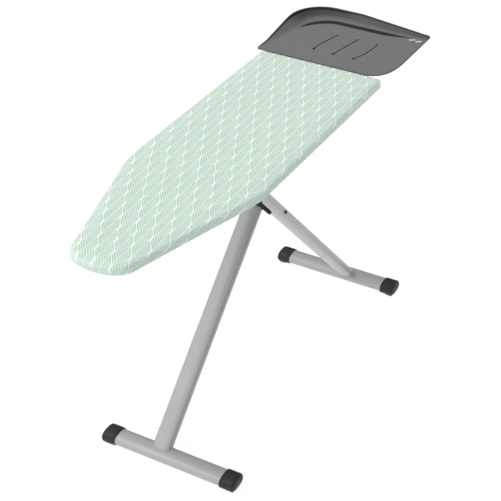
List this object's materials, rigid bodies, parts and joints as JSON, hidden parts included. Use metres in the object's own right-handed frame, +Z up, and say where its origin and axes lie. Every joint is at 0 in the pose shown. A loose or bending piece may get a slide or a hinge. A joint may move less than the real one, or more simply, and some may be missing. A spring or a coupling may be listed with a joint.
{
  "type": "ironing board",
  "caption": "Folding ironing board with a padded cloth-covered deck on crossed single-tube legs, a height lever and a moulded iron rest.",
  "frame": {"origin": "centre of the bounding box on the floor, with the legs at the height shown", "axes": "+X from the nose towards the iron rest, +Y across the board to its far side, +Z up"},
  "size_m": [1.529, 0.451, 0.9148],
  "materials": {
    "cover_cloth": "woven cotton, printed",
    "felt": "felt",
    "drawcord": "braided",
    "deck_steel": "satin",
    "silver_paint": "satin",
    "zinc": "zinc plated",
    "black_steel": "satin",
    "black_plastic": "moulded",
    "tray_plastic": "fine moulded texture"
  },
  "bodies": {
    "board": {"arm_saddle_left_1": "black_plastic", "arm_saddle_left_2": "black_plastic", "arm_saddle_right_1": "black_plastic", "arm_saddle_right_2": "black_plastic", "cover": "cover_cloth", "cover_drawcord": "drawcord", "deck_mesh": "deck_steel", "deck_rim": "silver_paint", "iron_rest": "tray_plastic", "leg_bracket": "zinc", "leg_pivot_clip": "zinc", "leg_pivot_pin": "zinc", "lever_hanger_1": "zinc", "lever_hanger_2": "zinc", "lever_rod": "zinc", "pad": "felt", "rest_arm_left": "silver_paint", "rest_arm_right": "silver_paint", "rib_bracket": "silver_paint", "rib_front": "silver_paint", "rib_middle": "silver_paint", "rib_nose": "silver_paint", "rib_rear": "silver_paint", "rib_tail": "silver_paint", "rivet_1": "zinc", "rivet_2": "zinc", "rivet_3": "zinc", "rivet_4": "zinc", "rivet_5": "zinc", "rivet_6": "zinc", "rivet_7": "zinc", "rivet_8": "zinc", "slide_channel": "zinc", "tray_saddle_left_1": "black_plastic", "tray_saddle_left_2": "black_plastic", "tray_saddle_right_1": "black_plastic", "tray_saddle_right_2": "black_plastic"},
    "lever": {"height_lever": "black_plastic", "lock_bar": "zinc", "lever_spring": "zinc"},
    "front_leg": {"crossing_bolt": "black_steel", "crossing_nut": "zinc", "crossing_spacer": "black_plastic", "crossing_washer_1": "zinc", "crossing_washer_2": "zinc", "front_foot_cap_left": "black_plastic", "front_foot_cap_right": "black_plastic", "front_foot_tube": "silver_paint", "front_leg_plug": "black_plastic", "front_leg_tube": "silver_paint"},
    "rear_leg": {"axle_clip_inner": "zinc", "axle_clip_outer": "zinc", "rear_foot_cap_left": "black_plastic", "rear_foot_cap_right": "black_plastic", "rear_foot_tube": "silver_paint", "rear_leg_plug": "black_plastic", "rear_leg_tube": "silver_paint", "slide_axle": "zinc", "slide_bush_inner": "black_plastic", "slide_bush_outer": "black_plastic"}
  },
  "joints": [
    {"name": "front_leg_fold", "type": "hinge", "parent": "board", "child": "front_leg", "pos_m": [0.36204, 0, 0.836], "axis": [0, 1, 0], "range_deg": [-2.3, 43.01]},
    {"name": "rear_leg_fold", "type": "hinge", "parent": "front_leg", "child": "rear_leg", "pos_m": [0.0925, 0, 0.571], "axis": [0, 1, 0], "range_deg": [-90, 6]},
    {"name": "lever_squeeze", "type": "hinge", "parent": "board", "child": "lever", "pos_m": [-0.2495, -0.112, 0.848], "axis": [1, 0, 0], "range_deg": [-14, 0], "stiffness_Nm_per_rad": 0.3, "springref_deg": 17.19}
  ],
  "couplings": [
    {"joint": "rear_leg_fold", "follows": "front_leg_fold", "ratio": -2.0482}
  ]
}
